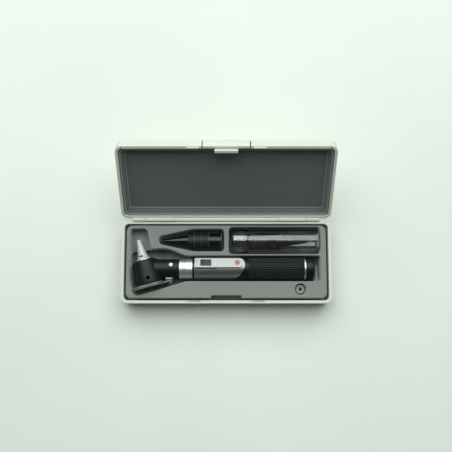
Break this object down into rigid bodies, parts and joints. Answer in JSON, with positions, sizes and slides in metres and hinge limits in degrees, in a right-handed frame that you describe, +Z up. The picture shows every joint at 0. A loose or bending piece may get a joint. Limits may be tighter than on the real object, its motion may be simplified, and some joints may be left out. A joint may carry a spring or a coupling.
{
  "type": "otoscope carry case",
  "caption": "Hinged hard case with a formed tray that holds an otoscope with its clip and sliding switch, nested ear specula, a clear tube of thin specula and a spare lamp.",
  "frame": {"origin": "centre of the flat underside of the base, on the table, with the lid standing open", "axes": "+X along the case to its right end, +Y to the hinge at the back, +Z up"},
  "size_m": [0.208, 0.1519, 0.084],
  "materials": {
    "case_plastic": "satin moulded",
    "tray_grey": "flocked, matte",
    "liner_grey": "flocked, matte",
    "steel": "brushed",
    "black_plastic": "fine texture",
    "grip_black": "fluted, satin",
    "polished_metal": "polished",
    "satin_metal": "satin",
    "clip_metal": "satin bright",
    "mark_red": "printed, plain",
    "white_plastic": "smooth",
    "contact_brass": "plain",
    "cell_sleeve": "plain sleeve, no print",
    "clear_glass": "clear",
    "lens_clear": "clear, polished",
    "frame_grey": "smooth",
    "specula_black": "smooth",
    "disposable_black": "smooth",
    "tube_clear": "clear plastic, polished"
  },
  "bodies": {
    "base": {"base_shell": "case_plastic", "tray_insert": "tray_grey", "hinge_pins": "steel"},
    "lid": {"lid_shell": "case_plastic", "lid_liner": "liner_grey"},
    "latch": {"latch_tongue": "case_plastic"},
    "otoscope": {"head_housing": "black_plastic", "specula_flange": "polished_metal", "metal_cone": "polished_metal", "neck_plug": "white_plastic", "light_guide": "clear_glass", "bulb_glass": "clear_glass", "bulb_base": "contact_brass", "pivot_bracket": "steel", "pivot_screw": "steel", "head_collar": "satin_metal", "joint_ring": "black_plastic", "contact_bush": "white_plastic", "contact_pin": "contact_brass", "upper_shell": "satin_metal", "battery_tube": "satin_metal", "battery_front": "cell_sleeve", "battery_rear": "cell_sleeve", "contact_spring": "steel", "grip_sleeve": "grip_black", "end_ring": "polished_metal", "switch_housing": "satin_metal", "pocket_clip": "clip_metal", "clip_mark": "mark_red"},
    "window": {"window_frame": "frame_grey", "window_lens": "lens_clear"},
    "switch": {"slide_switch": "black_plastic"},
    "end_cap_body": {"end_cap": "grip_black"},
    "specula_stack": {"speculum_1": "specula_black", "speculum_2": "specula_black", "speculum_3": "specula_black", "speculum_4": "specula_black"},
    "tube": {"tube_body": "tube_clear", "tube_cap": "tube_clear", "disposable_specula": "disposable_black"},
    "spare_lamp": {"spare_lamp_base": "satin_metal", "spare_lamp_contact": "black_plastic", "spare_lamp_bulb": "clear_glass"}
  },
  "joints": [
    {"name": "lid_hinge", "type": "hinge", "parent": "base", "child": "lid", "pos_m": [0, 0.04208, 0.025], "axis": [-1, 0, 0], "range_deg": [-136.3, 0]},
    {"name": "latch_bend", "type": "hinge", "parent": "lid", "child": "latch", "pos_m": [0, 0.10859, 0.07334], "axis": [1, 0, 0], "range_deg": [0, 5], "stiffness_Nm_per_rad": 1.5},
    {"name": "otoscope_lift", "type": "slide", "parent": "base", "child": "otoscope", "axis": [0, 0, 1], "range_m": [0, 0.06]},
    {"name": "window_swing", "type": "hinge", "parent": "otoscope", "child": "window", "pos_m": [-0.05563, -0.01819, 0.0182], "axis": [-0.2672, 0.9636, 0], "range_deg": [0, 75]},
    {"name": "switch_slide", "type": "slide", "parent": "otoscope", "child": "switch", "axis": [-1, 0, 0], "range_m": [0, 0.0036]},
    {"name": "end_cap_turn", "type": "hinge", "parent": "otoscope", "child": "end_cap_body", "pos_m": [0.08, -0.0063, 0.0182], "axis": [1, 0, 0], "range_deg": [0, 360]},
    {"name": "specula_lift", "type": "slide", "parent": "base", "child": "specula_stack", "axis": [0, 0, 1], "range_m": [0, 0.025]},
    {"name": "tube_lift", "type": "slide", "parent": "base", "child": "tube", "axis": [0, 0, 1], "range_m": [0, 0.06]},
    {"name": "spare_lamp_lift", "type": "slide", "parent": "base", "child": "spare_lamp", "axis": [0, 0, 1], "range_m": [0, 0.03]}
  ]
}
